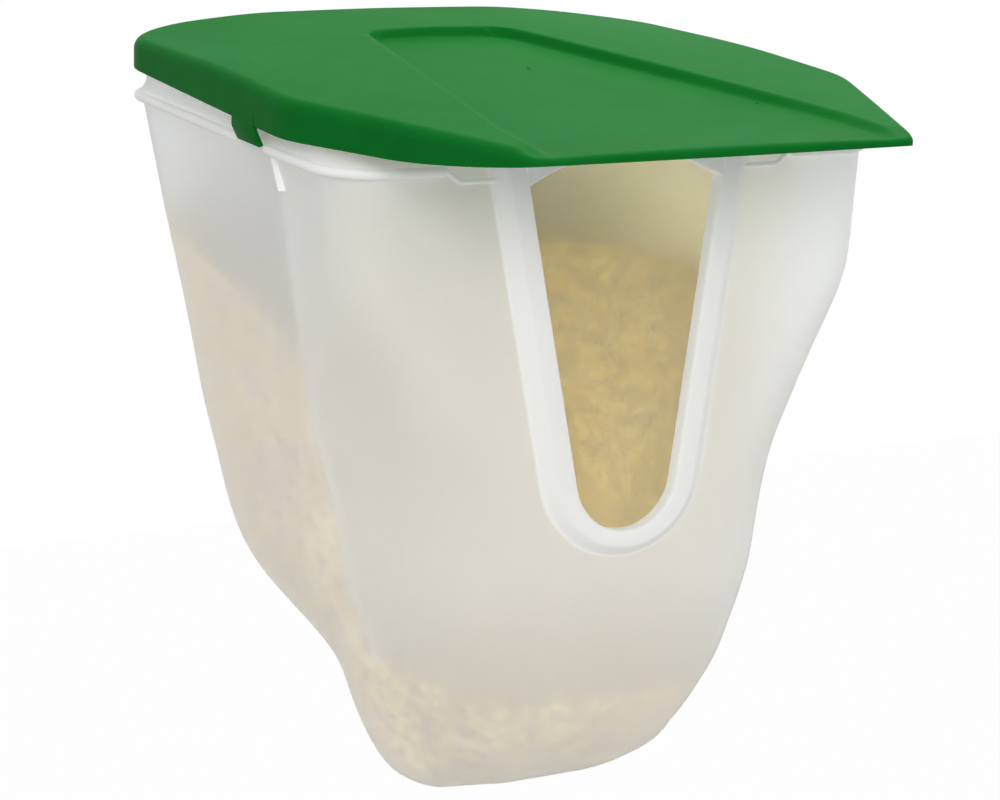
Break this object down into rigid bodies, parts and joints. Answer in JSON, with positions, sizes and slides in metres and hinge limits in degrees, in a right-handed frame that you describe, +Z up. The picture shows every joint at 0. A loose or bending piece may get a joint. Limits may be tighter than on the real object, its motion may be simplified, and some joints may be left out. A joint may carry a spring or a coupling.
{
  "type": "hanging poultry feeder",
  "caption": "Wall-hung translucent feed hopper with a rounded trough and a tall feeding slot in a raised frame, a hinged visor lid, an inner baffle and a hooked wall bracket.",
  "frame": {"origin": "on the wall's surface, at the middle of the bracket's back face, level with the top of its hook", "axes": "+X to the feeder's right seen from the front, +Y into the wall, +Z up"},
  "size_m": [0.2574, 0.3109, 0.3447],
  "materials": {
    "milky_plastic": "translucent milky polypropylene, satin",
    "clear_plastic": "translucent polypropylene sheet, satin",
    "green_plastic": "fine-grained green polypropylene",
    "grey_plastic": "grey polypropylene, satin"
  },
  "bodies": {
    "bracket": {"wall_bracket": "grey_plastic"},
    "hopper": {"body": "milky_plastic", "feed_baffle": "clear_plastic"},
    "lid": {"lid": "green_plastic"}
  },
  "joints": [
    {"name": "lift_off", "type": "slide", "parent": "bracket", "child": "hopper", "axis": [0, 0, 1], "range_m": [0, 0.012]},
    {"name": "lid_hinge", "type": "hinge", "parent": "hopper", "child": "lid", "pos_m": [0, -0.01507, 0.043], "axis": [-1, 0, 0], "range_deg": [0, 105]}
  ]
}
